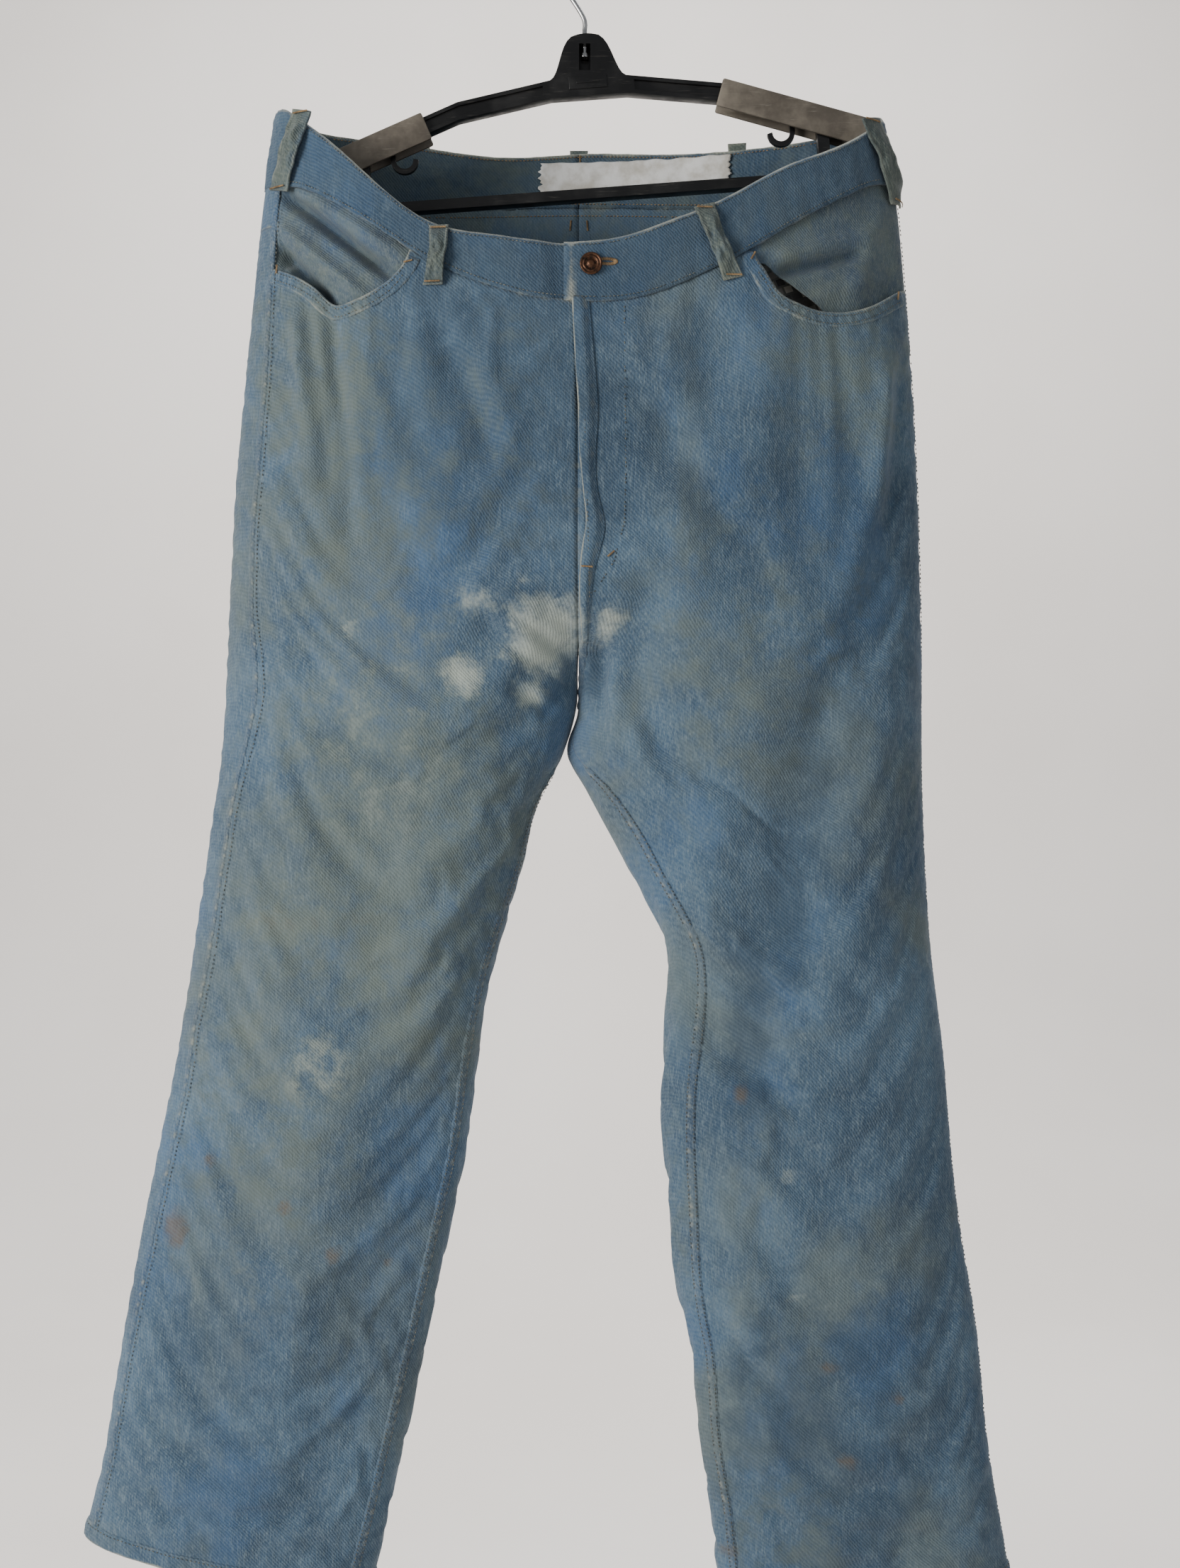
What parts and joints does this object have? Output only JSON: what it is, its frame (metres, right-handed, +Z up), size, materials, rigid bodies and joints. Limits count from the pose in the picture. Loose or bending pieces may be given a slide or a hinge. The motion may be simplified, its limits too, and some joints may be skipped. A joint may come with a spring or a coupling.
{
  "type": "denim work trousers on a hanger",
  "caption": "Straight-leg denim work trousers with scoop pockets, belt loops and a zip fly, hung by the waist on an adjustable hanger with a wire hook.",
  "frame": {"origin": "inside of the wire hook, where a rail touches it", "axes": "+Z up along the hook's swivel axis, the front of the trousers faces -Y, the wearer's left is +X"},
  "size_m": [0.745, 0.1446, 1.3143],
  "materials": {
    "faded_denim": "worn, stained blue twill",
    "belt_loop_denim": "grey-green worn denim with pale edges",
    "pocket_lining": "checked cotton",
    "hook_wire": "bright plated wire",
    "black_plastic": "black moulded plastic",
    "grey_plastic": "warm grey moulded plastic",
    "aged_copper": "darkened copper",
    "zip_tape": "woven tape",
    "zip_brass": "dull brass",
    "blank_label": "creased off-white"
  },
  "bodies": {
    "hook": {"wire_hook": "hook_wire"},
    "hanger_and_seat": {"hanger_frame": "black_plastic", "back_panel_left": "faded_denim", "back_panel_right": "faded_denim", "back_pocket_left": "faded_denim", "back_pocket_right": "faded_denim", "belt_loop_back_centre": "belt_loop_denim", "belt_loop_back_left": "belt_loop_denim", "belt_loop_back_right": "belt_loop_denim", "belt_loop_front_left": "belt_loop_denim", "belt_loop_front_right": "belt_loop_denim", "belt_loop_side_left": "belt_loop_denim", "belt_loop_side_right": "belt_loop_denim", "button_tack": "aged_copper", "fly_shield": "faded_denim", "front_panel_left": "faded_denim", "front_panel_right": "faded_denim", "pocket_bag_left": "pocket_lining", "pocket_bag_right": "pocket_lining", "pocket_facing_left": "faded_denim", "pocket_facing_right": "faded_denim", "waist_label": "blank_label", "waistband_left": "faded_denim", "waistband_right": "faded_denim", "yoke_left": "faded_denim", "yoke_right": "faded_denim", "zip_bottom_stop": "zip_brass", "zip_tape_left": "zip_tape", "zip_tape_right": "zip_tape", "zip_teeth_left": "zip_brass", "zip_teeth_right": "zip_brass"},
    "sleeve_right": {"shoulder_sleeve_right": "grey_plastic"},
    "sleeve_left": {"shoulder_sleeve_left": "grey_plastic"},
    "button": {"waist_button": "aged_copper"},
    "slider": {"zip_slider": "zip_brass", "zip_pull_tab": "zip_brass"},
    "leg_right": {"leg_front_right": "faded_denim", "leg_back_right": "faded_denim", "hem_right": "faded_denim"},
    "leg_left": {"leg_front_left": "faded_denim", "leg_back_left": "faded_denim", "hem_left": "faded_denim"}
  },
  "joints": [
    {"name": "hook_swivel", "type": "hinge", "parent": "hook", "child": "hanger_and_seat", "pos_m": [0, 0, -0.066], "axis": [0, 0, 1], "continuous": true},
    {"name": "sleeve_right_slide", "type": "slide", "parent": "hanger_and_seat", "child": "sleeve_right", "axis": [0.915, 0, 0.4035], "range_m": [0, 0.03]},
    {"name": "sleeve_left_slide", "type": "slide", "parent": "hanger_and_seat", "child": "sleeve_left", "axis": [-0.9641, 0, 0.2656], "range_m": [0, 0.03]},
    {"name": "waist_button_turn", "type": "hinge", "parent": "hanger_and_seat", "child": "button", "pos_m": [0.005, -0.065, -0.267], "axis": [0, -1, 0], "continuous": true},
    {"name": "zip_slide", "type": "slide", "parent": "hanger_and_seat", "child": "slider", "axis": [0, 0, -1], "range_m": [0, 0.178]},
    {"name": "leg_right_swing", "type": "hinge", "parent": "hanger_and_seat", "child": "leg_right", "pos_m": [-0.005, 0, -0.555], "axis": [1, 0, 0], "range_deg": [-22, 22]},
    {"name": "leg_left_swing", "type": "hinge", "parent": "hanger_and_seat", "child": "leg_left", "pos_m": [-0.005, 0, -0.555], "axis": [1, 0, 0], "range_deg": [-22, 22]}
  ]
}
